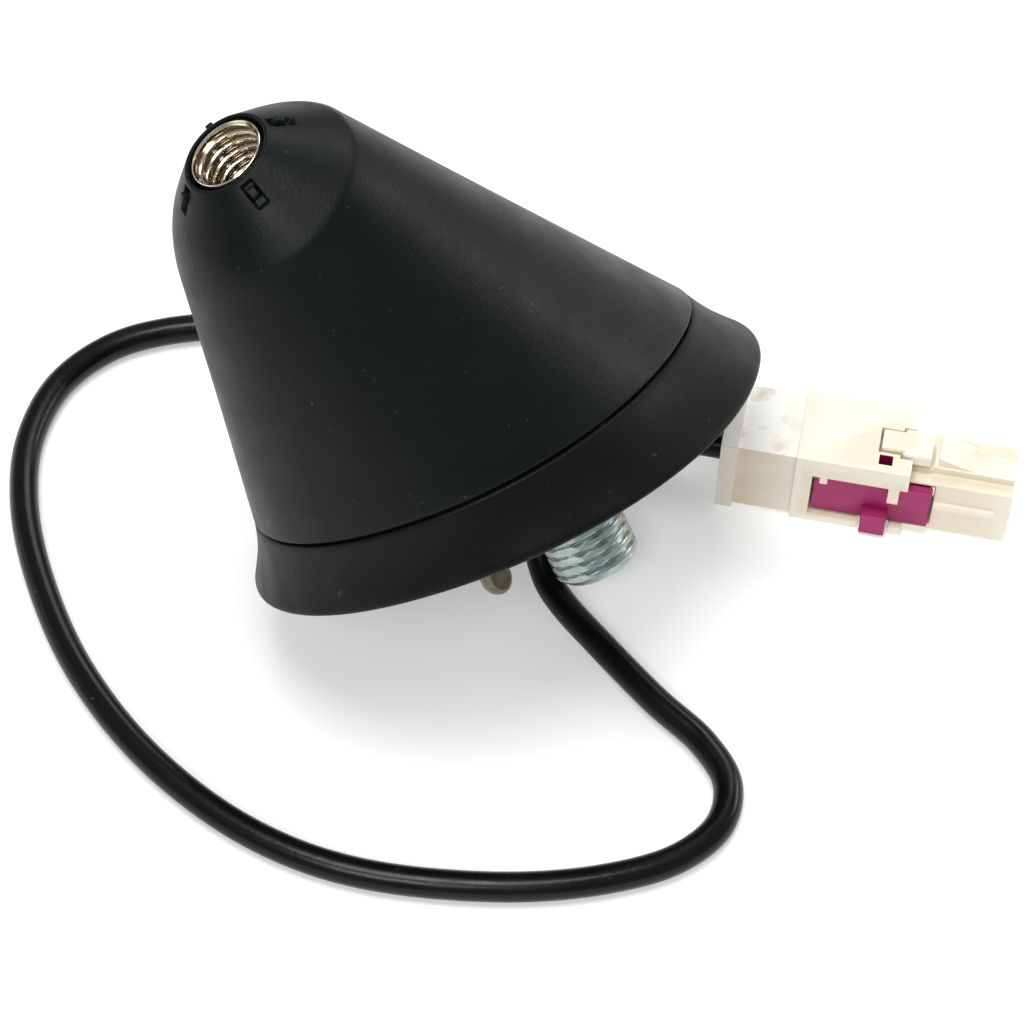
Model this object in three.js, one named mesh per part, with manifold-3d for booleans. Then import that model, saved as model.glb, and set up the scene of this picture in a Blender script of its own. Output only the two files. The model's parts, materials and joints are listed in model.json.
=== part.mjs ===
// Car roof aerial base: a leaning mast foot with its amplifier, roof stud, coaxial lead and RF plug.
// Millimetres, +Z up. The foot lies tilted on a table at Z = 0, on the edge of its skirt and its lead.
import * as THREE from 'three';
import { mergeVertices } from 'three/addons/utils/BufferGeometryUtils.js';
import Module from 'manifold-3d';

// ---- Driving dimensions ---------------------------------------------------------------------
const GAP = 0.3;                    // clearance between touching pieces
const RING_STEPS = 56;              // corners of each lofted ring
const OVAL_POWER = 2.1;             // 2 is an ellipse

// Foot, in its own upright frame: +X is its long front slope, Z = 0 is the roof face.
const FOOT_FRONT = 34.5;
const FOOT_REAR = 31.0;
const FOOT_HALF = 30.9;
const SKIRT_TOP = 8.4;
const PARTING_FRONT = 26.0;
const PARTING_REAR = 31.2;
const PARTING_HALF = 26.3;
const SKIRT_WALL = 2.8;
const COVER_WALL = 2.2;

// Crown and mast socket; the mast leans towards -X.
const MAST_LEAN = THREE.MathUtils.degToRad(31);
const CREASE_X = -24.6;
const CREASE_Z = 45.8;
const CREASE_RADIUS = 11.2;
const CROWN_HEIGHT = 6.5;
const RIM_RADIUS = 4.85;
const SOCKET_RADIUS = 4.05;
const SOCKET_BORE = 3.45;
const SOCKET_DEPTH = 12.5;
const SOCKET_LENGTH = 15.5;
const CROWN_THICKNESS = 8.8;

// Base plate, stud, lead exit and locating peg.
const PLATE_BOTTOM = 2.6;
const PLATE_TOP = 5.6;
const STUD_X = 7.6;
const STUD_Y = -1.7;
const STUD_RADIUS = 5.15;
const STUD_LENGTH = 18;
const STUD_FLANGE_RADIUS = 6.5;
const STUD_FLAT_ANGLE = THREE.MathUtils.degToRad(168);
const STUD_FLAT_DEPTH = 0.3;
const LEAD_X = 9.58;
const LEAD_Y = 4.64;
const LEAD_RADIUS = 1.7;
const PEG_X = -13;
const PEG_Y = 0.9;
const PEG_RADIUS = 1.75;
const PEG_LENGTH = 9.2;

// Amplifier board and its parts.
const BOARD_REAR = -15.9;
const BOARD_FRONT = 11.5;
const BOARD_HALF = 13;
const BOARD_BOTTOM = 11.5;
const BOARD_TOP = 12.7;
const SCREW_PLACES = [[17, 0], [-18.9, 11], [-18.9, -11]];
const POST_RADIUS = 2.6;
const BOARD_SCREW_PLACES = [[-11, 9.5], [-11, -9.5], [3, -10.5]];

// How the foot lies on the table.
const REST_TILT = THREE.MathUtils.degToRad(40.5);
const REST_TILT_TOWARDS = THREE.MathUtils.degToRad(131.3);
const REST_HEADING = THREE.MathUtils.degToRad(80.6);
const FOOT_PLACE = [3.83, -1.87, 21.04];

// Plug, in its own frame: X runs from the lead to the mouth, Z = 0 is the table.
const PLUG_PLACE = [30.0, 14.0, 0];
const PLUG_HEADING = THREE.MathUtils.degToRad(-11);
const PLUG_AXIS_Z = 4.9;
const COLLAR_END = 8.6;
const BLOCK_END = 22.2;
const BLOCK_HALF = 5.15;
const BLOCK_TOP = 11.5;
const BARREL_END = 34.3;
const BARREL_HALF = 3.65;
const BARREL_TOP = 8.8;
const BARREL_BOTTOM = 0.3;
const CONTACT_BORE = 2.6;

// Centre line of the lead on the table, from the grommet in the foot to the back of the plug.
const LEAD_ROUTE = [
  [1.2, 7.8, 16.7], [2.3, 6.6, 14.8], [4.0, 4.7, 11.8], [5.6, 2.8, 8.8], [6.8, 1.2, 6.2],
  [7.9, -1.0, 3.7], [9.1, -4.1, 2.0], [11.0, -7.4, 1.8], [14.4, -11.9, 1.8], [21.2, -20.3, 1.8],
  [26.5, -26.0, 1.8], [29.0, -31.2, 1.8], [28.0, -36.5, 1.8], [23.5, -40.8, 1.8], [15.7, -43.6, 1.8],
  [3.6, -44.9, 1.8], [-12.8, -43.1, 1.8], [-24.3, -38.2, 1.8], [-35.5, -29.0, 1.8], [-44.2, -17.3, 1.8],
  [-49.7, -5.0, 1.8], [-52.5, 6.2, 1.8], [-52.6, 15.8, 1.8], [-49.7, 24.2, 1.8], [-44.1, 29.9, 1.8],
  [-37.6, 32.6, 1.8], [-26.0, 34.0, 1.8], [-16.0, 34.2, 1.8], [-6.0, 33.0, 1.8], [2.0, 30.4, 1.8],
  [8.0, 27.0, 1.8], [13.0, 22.9, 1.9], [17.5, 19.0, 2.6], [22.0, 16.3, 3.9], [26.5, 14.8, 4.8],
  [31.8, 13.65, 4.9],
];
const LEAD_SIDES = 8;
const LEAD_STEPS = 78;

// ---- Materials ------------------------------------------------------------------------------
const finish = (color, roughness, metalness = 0) =>
  new THREE.MeshStandardMaterial({ color, roughness, metalness });
const COVER_PLASTIC = finish(0x1b1f20, 0.55);
const SKIRT_RUBBER = finish(0x1d1c1b, 0.7);
const GASKET_RUBBER = finish(0x141414, 0.85);
const ZINC = finish(0x93a09f, 0.35, 1);
const CAST_METAL = finish(0x8d8f90, 0.5, 1);
const PEG_STEEL = finish(0x7d7466, 0.4, 1);
const NICKEL = finish(0xcbbd9f, 0.25, 1);
const BRASS = finish(0xb8945a, 0.3, 1);
const BOARD_GREEN = finish(0x1f4d33, 0.5);
const TIN = finish(0xb9bcbd, 0.3, 1);
const CHIP_BLACK = finish(0x17171a, 0.5);
const COPPER = finish(0xb06a3c, 0.35, 1);
const CERAMIC = finish(0xa08a68, 0.6);
const SCREW_STEEL = finish(0x9a9c9e, 0.3, 1);
const LEAD_JACKET = finish(0x0b0c0e, 0.3);
const PLUG_IVORY = finish(0xe9e0cb, 0.45);
const COLLAR_IVORY = finish(0xe3d9c6, 0.45);
const LOCK_MAGENTA = finish(0xa11f63, 0.4);
const DIELECTRIC_WHITE = finish(0xf0efe9, 0.5);

// ---- Solid helpers --------------------------------------------------------------------------
const wasm = await Module();
wasm.setup();

function signedVolume(position, index) {
  const a = new THREE.Vector3();
  const b = new THREE.Vector3();
  const c = new THREE.Vector3();
  let volume = 0;
  for (let i = 0; i < index.length; i += 3) {
    a.fromBufferAttribute(position, index[i]);
    b.fromBufferAttribute(position, index[i + 1]);
    c.fromBufferAttribute(position, index[i + 2]);
    volume += a.dot(b.cross(c)) / 6;
  }
  return volume;
}

// A closed three.js geometry as a manifold-3d solid, turned so that its faces point out.
function solid(geometry) {
  const bare = geometry.clone();
  bare.deleteAttribute('normal');
  bare.deleteAttribute('uv');
  const merged = mergeVertices(bare, 1e-4);
  const index = Array.from(merged.index.array);
  const kept = [];
  for (let i = 0; i < index.length; i += 3) {
    const [a, b, c] = index.slice(i, i + 3);
    if (a !== b && b !== c && c !== a) kept.push(a, b, c);
  }
  if (signedVolume(merged.attributes.position, kept) < 0) kept.reverse();
  return new wasm.Manifold(new wasm.Mesh({
    numProp: 3,
    vertProperties: new Float32Array(merged.attributes.position.array),
    triVerts: new Uint32Array(kept),
  }));
}

function geometryOf(manifold) {
  const mesh = manifold.getMesh();
  const geometry = new THREE.BufferGeometry();
  geometry.setAttribute('position', new THREE.BufferAttribute(new Float32Array(mesh.vertProperties), 3));
  geometry.setIndex(new THREE.BufferAttribute(new Uint32Array(mesh.triVerts), 1));
  geometry.computeVertexNormals();
  return geometry;
}

// A closed skin through rings that all have the same number of points, capped at both ends.
function loft(rings) {
  const steps = rings[0].length;
  const corners = rings.flat();
  const index = [];
  for (let r = 0; r + 1 < rings.length; r += 1) {
    for (let s = 0; s < steps; s += 1) {
      const a = r * steps + s;
      const b = r * steps + ((s + 1) % steps);
      index.push(a, b, b + steps, a, b + steps, a + steps);
    }
  }
  for (const [ring, first, turn] of [[rings[0], 0, -1], [rings.at(-1), steps * (rings.length - 1), 1]]) {
    const centre = ring.reduce((sum, p) => sum.add(p), new THREE.Vector3()).divideScalar(steps);
    const hub = corners.push(centre) - 1;
    for (let s = 0; s < steps; s += 1) {
      const next = first + ((s + 1) % steps);
      index.push(...(turn > 0 ? [first + s, next, hub] : [next, first + s, hub]));
    }
  }
  const geometry = new THREE.BufferGeometry().setFromPoints(corners);
  geometry.setIndex(index);
  return solid(geometry);
}

function oval(front, rear, half, z, steps = RING_STEPS) {
  const points = [];
  for (let s = 0; s < steps; s += 1) {
    const angle = (s / steps) * 2 * Math.PI;
    const round = (value) => Math.sign(value) * Math.abs(value) ** (2 / OVAL_POWER);
    const x = round(Math.cos(angle));
    points.push(new THREE.Vector3(x * (x > 0 ? front : rear), round(Math.sin(angle)) * half, z));
  }
  return points;
}

// A circle square to the mast, its centre a distance along the mast from the crown's crease.
const mastAxis = new THREE.Vector3(-Math.sin(MAST_LEAN), 0, Math.cos(MAST_LEAN));
const creaseCentre = new THREE.Vector3(CREASE_X, 0, CREASE_Z);
function mastRing(along, radius, steps = RING_STEPS) {
  const forward = new THREE.Vector3(Math.cos(MAST_LEAN), 0, Math.sin(MAST_LEAN));
  const centre = creaseCentre.clone().addScaledVector(mastAxis, along);
  const points = [];
  for (let s = 0; s < steps; s += 1) {
    const angle = (s / steps) * 2 * Math.PI;
    points.push(centre.clone()
      .addScaledVector(forward, radius * Math.cos(angle))
      .add(new THREE.Vector3(0, radius * Math.sin(angle), 0)));
  }
  return points;
}

function between(low, high, part) {
  return low.map((p, i) => p.clone().lerp(high[i], part));
}

const cylinder = (radius, from, to, x = 0, y = 0, sides = 28) => {
  const geometry = new THREE.CylinderGeometry(radius, radius, to - from, sides);
  geometry.rotateX(Math.PI / 2).translate(x, y, (from + to) / 2);
  return solid(geometry);
};

const block = (x0, x1, y0, y1, z0, z1) => {
  const geometry = new THREE.BoxGeometry(x1 - x0, y1 - y0, z1 - z0);
  return solid(geometry.translate((x0 + x1) / 2, (y0 + y1) / 2, (z0 + z1) / 2));
};

// A lathe about Z, from [radius, z] pairs that start and end on the axis.
function turned(profile, sides = 32) {
  const points = profile.map(([radius, z]) => new THREE.Vector2(radius, z));
  return solid(new THREE.LatheGeometry(points, sides).rotateX(Math.PI / 2));
}

// A ring turned about Z, from the four corners of its section.
function washer(inner, outer, from, to, sides = 32) {
  return cylinder(outer, from, to, 0, 0, sides).subtract(cylinder(inner, from - 1, to + 1, 0, 0, sides));
}

// The same along the plug's X axis, at the height of its contacts.
const alongPlug = (manifold) => manifold.rotate([0, 90, 0]).translate([0, 0, PLUG_AXIS_Z]);

function addPiece(group, name, material, manifold, place) {
  const mesh = new THREE.Mesh(geometryOf(manifold), material);
  mesh.name = name;
  if (place) place(mesh);
  group.add(mesh);
}

// ---- Foot: skirt, cover and what bolts it to the roof ----------------------------------------
const foot = new THREE.Group();

function skirt() {
  const outer = loft([
    oval(FOOT_FRONT - 0.5, FOOT_REAR - 0.5, FOOT_HALF - 0.5, 0),
    oval(FOOT_FRONT, FOOT_REAR, FOOT_HALF, 0.7),
    oval(PARTING_FRONT, PARTING_REAR, PARTING_HALF, SKIRT_TOP),
  ]);
  const hollow = loft([
    oval(FOOT_FRONT - SKIRT_WALL - 0.4, FOOT_REAR - SKIRT_WALL, FOOT_HALF - SKIRT_WALL - 0.3, -0.1),
    oval(PARTING_FRONT - SKIRT_WALL + 1.2, PARTING_REAR - SKIRT_WALL, PARTING_HALF - SKIRT_WALL + 0.8,
      PLATE_TOP + GAP),
  ]);
  const mouth = loft([
    oval(PARTING_FRONT - 4, PARTING_REAR - 4, PARTING_HALF - 4, 1),
    oval(PARTING_FRONT - 4, PARTING_REAR - 4, PARTING_HALF - 4, SKIRT_TOP + 1),
  ]);
  return outer.subtract(hollow).subtract(mouth);
}

function cover() {
  const bottom = oval(PARTING_FRONT, PARTING_REAR, PARTING_HALF, SKIRT_TOP + GAP);
  const crease = mastRing(0, CREASE_RADIUS);
  const outer = loft([
    bottom,
    ...[0.2, 0.4, 0.6, 0.8].map((part) => between(bottom, crease, part)),
    crease,
    mastRing(CROWN_HEIGHT, RIM_RADIUS),
  ]);
  const innerBottom = oval(PARTING_FRONT - COVER_WALL, PARTING_REAR - COVER_WALL,
    PARTING_HALF - COVER_WALL, SKIRT_TOP + GAP - 0.1);
  const innerTop = mastRing(CROWN_HEIGHT - CROWN_THICKNESS, CREASE_RADIUS - COVER_WALL + 0.5);
  const hollow = loft([
    innerBottom,
    ...[0.33, 0.67].map((part) => between(innerBottom, innerTop, part)),
    innerTop,
  ]);
  const bore = loft([
    mastRing(CROWN_HEIGHT + 1, SOCKET_RADIUS + GAP),
    mastRing(CROWN_HEIGHT - CROWN_THICKNESS - 1, SOCKET_RADIUS + GAP),
  ]);
  let shell = outer.subtract(hollow);
  for (const [x, y] of SCREW_PLACES) {
    const top = x > 0 ? 14.5 : 19;
    const rib = x > 0 ? block(x, 26, y - 0.6, y + 0.6, 9, top) : block(-29, x, y - 0.6, y + 0.6, 9, top);
    const post = cylinder(POST_RADIUS, 9, top, x, y).add(rib).intersect(outer);
    shell = shell.add(post).add(cylinder(POST_RADIUS, PLATE_TOP + GAP, 9.2, x, y));
  }
  for (const [x, y] of SCREW_PLACES) {
    shell = shell.subtract(cylinder(1.45, PLATE_TOP, 13.5, x, y, 16));
  }
  return shell.subtract(bore);
}

function basePlate() {
  const ring = (inset, z) => oval(PARTING_FRONT - inset, PARTING_REAR - inset, PARTING_HALF - inset, z);
  let plate = loft([ring(3.4, PLATE_BOTTOM), ring(3.4, PLATE_TOP)]);
  for (const [x, y] of BOARD_SCREW_PLACES) {
    plate = plate.add(cylinder(2.4, PLATE_BOTTOM + 1, BOARD_BOTTOM - GAP, x, y, 20));
    plate = plate.subtract(cylinder(1.25, PLATE_BOTTOM + 1.5, BOARD_BOTTOM + 1, x, y, 16));
  }
  for (const [x, y] of SCREW_PLACES) {
    plate = plate.subtract(cylinder(1.6, PLATE_BOTTOM - 1, PLATE_TOP + 1, x, y, 16));
    plate = plate.subtract(cylinder(2.9, PLATE_BOTTOM - 1, PLATE_BOTTOM + 1.5, x, y, 24));
  }
  return plate
    .subtract(cylinder(STUD_RADIUS + GAP, 0, 9, STUD_X, STUD_Y, 36))
    .subtract(cylinder(LEAD_RADIUS + 0.9 + GAP, 0, 9, LEAD_X, LEAD_Y, 24))
    .subtract(cylinder(PEG_RADIUS + GAP, 0, 9, PEG_X, PEG_Y, 24));
}

function roofGasket() {
  const ring = (inset, z) => oval(PARTING_FRONT - inset, PARTING_REAR - inset, PARTING_HALF - inset, z);
  let pad = loft([ring(4.2, 0.6), ring(4.2, PLATE_BOTTOM - GAP)]);
  for (const [x, y] of SCREW_PLACES) pad = pad.subtract(cylinder(3.1, 0, 4, x, y, 24));
  return pad
    .subtract(cylinder(STUD_RADIUS + 4.3, 0, 4, STUD_X, STUD_Y, 40))
    .subtract(cylinder(PEG_RADIUS + 0.6, 0, 4, PEG_X, PEG_Y, 24));
}

function studSeal() {
  return cylinder(STUD_RADIUS + 4, 0.3, PLATE_BOTTOM - GAP, STUD_X, STUD_Y, 40)
    .subtract(cylinder(STUD_RADIUS + GAP, -1, 4, STUD_X, STUD_Y, 36))
    .subtract(cylinder(LEAD_RADIUS + 0.9 + GAP, -1, 4, LEAD_X, LEAD_Y, 24));
}

function threadedStud() {
  const stud = turned([
    [0, -STUD_LENGTH], [STUD_RADIUS - 0.8, -STUD_LENGTH], [STUD_RADIUS, -STUD_LENGTH + 0.8],
    [STUD_RADIUS, PLATE_TOP + GAP], [STUD_FLANGE_RADIUS, PLATE_TOP + GAP],
    [STUD_FLANGE_RADIUS, PLATE_TOP + GAP + 1.6], [0, PLATE_TOP + GAP + 1.6],
  ], 36);
  const reach = STUD_RADIUS - STUD_FLAT_DEPTH;
  const flat = block(reach, reach + 4, -6, 6, -STUD_LENGTH - 1, -1)
    .rotate([0, 0, THREE.MathUtils.radToDeg(STUD_FLAT_ANGLE)]);
  const groove = cylinder(LEAD_RADIUS + 1.5, -STUD_LENGTH - 1, 9, LEAD_X - STUD_X, LEAD_Y - STUD_Y, 24);
  return stud.subtract(flat).subtract(groove);
}

function locatingPeg() {
  const tip = PEG_RADIUS * 0.9;
  const peg = turned([
    [0, -PEG_LENGTH], [tip * 0.55, -PEG_LENGTH + 0.2], [tip, -PEG_LENGTH + 1.0],
    [PEG_RADIUS, -PEG_LENGTH + 2.1], [PEG_RADIUS, PLATE_TOP + GAP],
    [PEG_RADIUS + 1, PLATE_TOP + GAP], [PEG_RADIUS + 1, PLATE_TOP + 1.3], [0, PLATE_TOP + 1.3],
  ], 24);
  const flat = block(1.2, 4, -4, 4, -PEG_LENGTH - 1, 0).rotate([0, 0, -125]);
  return peg.subtract(flat);
}

function leadGrommet() {
  return washer(LEAD_RADIUS + GAP, LEAD_RADIUS + 0.9, -1.6, PLATE_TOP + 1.2, 20);
}

function mastSocket() {
  return turned([
    [0, -SOCKET_LENGTH], [SOCKET_RADIUS, -SOCKET_LENGTH], [SOCKET_RADIUS, -CROWN_THICKNESS - 2.4],
    [6.2, -CROWN_THICKNESS - 2.4], [6.2, -CROWN_THICKNESS - GAP], [SOCKET_RADIUS, -CROWN_THICKNESS - GAP],
    [SOCKET_RADIUS, 0], [SOCKET_RADIUS - 0.25, 0], [SOCKET_BORE, -0.7], [SOCKET_BORE, -SOCKET_DEPTH],
    [0, -SOCKET_DEPTH],
  ], 32);
}

function screw(headRadius, headFrom, headTo, shankRadius, shankTo) {
  return turned([
    [0, headFrom], [headRadius, headFrom], [headRadius, headTo], [shankRadius, headTo],
    [shankRadius, shankTo - 0.6], [0, shankTo],
  ], 16);
}

// ---- Amplifier inside the cover --------------------------------------------------------------
function amplifierBoard() {
  let board = block(BOARD_REAR, BOARD_FRONT, -BOARD_HALF, BOARD_HALF, BOARD_BOTTOM, BOARD_TOP);
  for (const side of [-1, 1]) {
    const corner = block(-4, 4, -4, 4, 10, 14).rotate([0, 0, 45]);
    board = board.subtract(corner.translate([BOARD_FRONT + 1.2, side * (BOARD_HALF + 1.2), 0]));
    const rearCorner = block(-4, 4, -4, 4, 10, 14).rotate([0, 0, 45]);
    board = board.subtract(rearCorner.translate([BOARD_REAR - 0.2, side * (BOARD_HALF - 0.2), 0]));
  }
  for (const [x, y] of BOARD_SCREW_PLACES) board = board.subtract(cylinder(1.4, 10, 14, x, y, 16));
  return board.subtract(block(LEAD_X - 2.6, BOARD_FRONT + 1, LEAD_Y - 2.6, LEAD_Y + 2.6, 10, 14));
}

function shieldCan() {
  const low = BOARD_TOP + GAP;
  return block(-9, 4, -6.5, 6.5, low, low + 4).subtract(block(-8.6, 3.6, -6.1, 6.1, low - 1, low + 3.6));
}

// The spring strap from the mast socket's foot down to the board.
function mastStrap() {
  const top = creaseCentre.clone().addScaledVector(mastAxis, CROWN_HEIGHT - SOCKET_LENGTH - 1.6);
  const path = [[top.x - 1.2, top.z], [top.x + 1.6, top.z - 3.4], [-14.6, 24], [-12.6, BOARD_TOP + 1.4],
    [-10.6, BOARD_TOP + GAP]];
  const shape = new THREE.Shape();
  shape.moveTo(path[0][0], path[0][1]);
  path.slice(1).forEach(([x, z]) => shape.lineTo(x, z));
  [...path].reverse().forEach(([x, z]) => shape.lineTo(x - 0.55, z - 0.02));
  const strip = new THREE.ExtrudeGeometry(shape, { depth: 3, bevelEnabled: false });
  strip.rotateX(Math.PI / 2).translate(0, 1.5, 0);
  return solid(strip);
}

function choke() {
  return washer(1.1, 2.5, BOARD_TOP + GAP, BOARD_TOP + GAP + 2.2, 24);
}

// ---- Lead ------------------------------------------------------------------------------------
function leadTube() {
  const points = LEAD_ROUTE.map(([x, y, z]) => new THREE.Vector3(x, y, z));
  const path = new THREE.CatmullRomCurve3(points, false, 'centripetal');
  const section = new THREE.Shape();
  for (let s = 0; s < LEAD_SIDES; s += 1) {
    const angle = ((s + 0.5) / LEAD_SIDES) * 2 * Math.PI;
    const move = s === 0 ? 'moveTo' : 'lineTo';
    section[move](LEAD_RADIUS * Math.cos(angle), LEAD_RADIUS * Math.sin(angle));
  }
  return solid(new THREE.ExtrudeGeometry(section, { steps: LEAD_STEPS, extrudePath: path }));
}

// ---- Plug ------------------------------------------------------------------------------------
function plugHousing() {
  const body = block(COLLAR_END + GAP, BLOCK_END, -BLOCK_HALF, BLOCK_HALF, 0, BLOCK_TOP);
  const barrel = block(BLOCK_END - 1, BARREL_END, -BARREL_HALF, BARREL_HALF, BARREL_BOTTOM, BARREL_TOP);
  const rail = block(BLOCK_END - 1, BARREL_END, -1.9, 1.3, BARREL_TOP - 1, BARREL_TOP + 1.0);
  const ramp = solid(wedgeGeometry());
  const sideRib = block(BLOCK_END - 1, BARREL_END - 1.6, -BARREL_HALF - 0.5, 0, 4.9, 5.7);
  const mouth = block(24.6, BARREL_END + 1, -BARREL_HALF + 0.9, BARREL_HALF - 0.9,
    BARREL_BOTTOM + 1.2, BARREL_TOP - 1.2);
  const contactBore = alongPlug(cylinder(CONTACT_BORE, COLLAR_END - 1, 26, 0, 0, 24));
  const window = block(11.0, 25.4, -BLOCK_HALF - 1, -1.2, 1.3, 8.5);
  const tabNotch = block(17.0, 20.6, -BLOCK_HALF - 1, -1.2, -1, 3);
  const topPeep = block(18.3, 19.9, -4.0, -2.6, 7, BLOCK_TOP + 1);
  const latchSlot = block(18.1, 24.8, -2.2, 1.4, 9.2, BLOCK_TOP + 1);
  const headSlot = block(20.7, 24.8, -2.7, 1.9, 9.2, BLOCK_TOP + 1);
  const nib = block(11.9, 12.8, -BLOCK_HALF, -4.85, 7.4, 8.6);
  const finger = block(20.0, 21.3, -BLOCK_HALF, -4.85, 5.8, 8.6);
  return body.add(barrel).add(rail).add(ramp).add(sideRib)
    .subtract(mouth).subtract(contactBore).subtract(window).subtract(tabNotch)
    .subtract(topPeep).subtract(latchSlot).subtract(headSlot)
    .add(nib).add(finger);
}

// The ramp that the mating housing's catch rides over.
function wedgeGeometry() {
  const side = new THREE.Shape();
  side.moveTo(25.2, BARREL_TOP - 0.5);
  side.lineTo(29.4, BARREL_TOP - 0.5);
  side.lineTo(29.4, BARREL_TOP + 1.0);
  side.lineTo(25.2, BARREL_TOP + 2.3);
  const wedge = new THREE.ExtrudeGeometry(side, { depth: 3.8, bevelEnabled: false });
  return wedge.rotateX(Math.PI / 2).translate(0, 2.2, 0);
}

function plugCollar() {
  const flange = block(0, 2.0, -5.2, 5.3, 0, 11.5);
  const rear = block(1, COLLAR_END, -4.75, 4.9, 0.4, 11.0);
  return flange.add(rear).subtract(alongPlug(cylinder(CONTACT_BORE, -1, COLLAR_END + 1, 0, 0, 24)));
}

function plugLatch() {
  const arm = block(18.4, 24.3, -1.9, 1.1, 10.3, 11.8);
  const head = block(21.0, 24.3, -2.4, 1.6, 10.3, 11.8);
  return arm.add(head);
}

function secondaryLock() {
  const plate = block(11.3, 25.1, -4.5, -3.6, 1.6, 8.2);
  const yoke = block(13.0, 16.2, -4.5, -3.4, 1.6, 8.2);
  const tab = block(17.3, 20.3, -6.0, -3.4, 0.4, 4);
  return plate.add(yoke).add(tab);
}

// ---- Assembly --------------------------------------------------------------------------------
const onMast = (mesh) => {
  mesh.position.copy(creaseCentre).addScaledVector(mastAxis, CROWN_HEIGHT);
  mesh.rotation.y = -MAST_LEAN;
};
const at = (x, y, z = 0) => (mesh) => mesh.position.set(x, y, z);

addPiece(foot, 'cover_shell', COVER_PLASTIC, cover());
addPiece(foot, 'skirt', SKIRT_RUBBER, skirt());
addPiece(foot, 'base_plate', CAST_METAL, basePlate());
addPiece(foot, 'roof_gasket', GASKET_RUBBER, roofGasket());
addPiece(foot, 'stud_seal', GASKET_RUBBER, studSeal());
addPiece(foot, 'threaded_stud', ZINC, threadedStud(), at(STUD_X, STUD_Y));
addPiece(foot, 'locating_peg', PEG_STEEL, locatingPeg(), at(PEG_X, PEG_Y));
addPiece(foot, 'lead_grommet', GASKET_RUBBER, leadGrommet(), at(LEAD_X, LEAD_Y));
addPiece(foot, 'mast_socket', NICKEL, mastSocket(), onMast);
addPiece(foot, 'mast_strap', BRASS, mastStrap());
addPiece(foot, 'amplifier_board', BOARD_GREEN, amplifierBoard());
addPiece(foot, 'shield_can', TIN, shieldCan());
addPiece(foot, 'amplifier_chip', CHIP_BLACK, block(-5, 0, -2.5, 2.5, BOARD_TOP + GAP, BOARD_TOP + 1.5));
addPiece(foot, 'supply_choke', COPPER, choke(), at(6.6, -4.5));
addPiece(foot, 'filter_coil', COPPER, choke(), at(-1, 10));
[[-12.5, 3.4], [-12.5, -3.4], [4.4, 9.6]].forEach(([x, y], i) => {
  const chip = block(-1.3, 1.3, -0.8, 0.8, BOARD_TOP + GAP, BOARD_TOP + 1.6);
  addPiece(foot, `capacitor_${i + 1}`, CERAMIC, chip, at(x, y));
});
const tail = cylinder(LEAD_RADIUS - GAP, PLATE_BOTTOM + 0.5, BOARD_TOP + 1.9, 0, 0, 16);
addPiece(foot, 'lead_tail', LEAD_JACKET, tail, at(LEAD_X, LEAD_Y));
const ferrule = washer(LEAD_RADIUS, 2.2, BOARD_BOTTOM - 1, BOARD_TOP + 1);
addPiece(foot, 'lead_ferrule', TIN, ferrule, at(LEAD_X, LEAD_Y));
SCREW_PLACES.forEach(([x, y], i) => {
  const piece = screw(2.5, PLATE_BOTTOM - 0.1, PLATE_BOTTOM + 1.2, 1.1, 12.5);
  addPiece(foot, `cover_screw_${i + 1}`, SCREW_STEEL, piece, at(x, y));
});
BOARD_SCREW_PLACES.forEach(([x, y], i) => {
  const piece = screw(2.2, -BOARD_TOP - 1.4, -BOARD_TOP - GAP, 0.9, -BOARD_TOP + 7.6);
  addPiece(foot, `board_screw_${i + 1}`, SCREW_STEEL, piece.rotate([180, 0, 0]), at(x, y));
});

const tiltAway = new THREE.Quaternion().setFromEuler(new THREE.Euler(0, REST_TILT, 0));
const turnTo = (angle) => new THREE.Quaternion().setFromAxisAngle(new THREE.Vector3(0, 0, 1), angle);
foot.quaternion.copy(turnTo(REST_TILT_TOWARDS))
  .multiply(tiltAway)
  .multiply(turnTo(REST_HEADING - REST_TILT_TOWARDS));
foot.position.set(...FOOT_PLACE);

const plug = new THREE.Group();
addPiece(plug, 'plug_housing', PLUG_IVORY, plugHousing());
addPiece(plug, 'plug_collar', COLLAR_IVORY, plugCollar());
addPiece(plug, 'plug_latch', PLUG_IVORY, plugLatch());
addPiece(plug, 'secondary_lock', LOCK_MAGENTA, secondaryLock());
addPiece(plug, 'crimp_ferrule', TIN, alongPlug(washer(LEAD_RADIUS, 2.3, 3.2, 12, 24)));
addPiece(plug, 'outer_contact', NICKEL, alongPlug(washer(1.75, 2.1, 12.4, 29.4, 24)));
addPiece(plug, 'contact_insulator', DIELECTRIC_WHITE, alongPlug(washer(0.75, 1.4, 12.8, 27, 20)));
addPiece(plug, 'centre_contact', BRASS, alongPlug(cylinder(0.4, 12.8, 29, 0, 0, 12)));
plug.rotation.z = PLUG_HEADING;
plug.position.set(...PLUG_PLACE);

const lead = new THREE.Group();
addPiece(lead, 'coax_lead', LEAD_JACKET, leadTube());

const aerialFoot = new THREE.Group();
aerialFoot.add(foot, plug, lead);

export default aerialFoot;
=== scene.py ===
"""Looks of a car roof aerial base: leaning foot, threaded stud, coaxial lead and RF plug.

The CAD frame gives the places; this script builds the visible surfaces round it, in metres.
"""
import json
import math

import bmesh
import bpy
import numpy as np
from mathutils import Matrix, Vector


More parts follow.
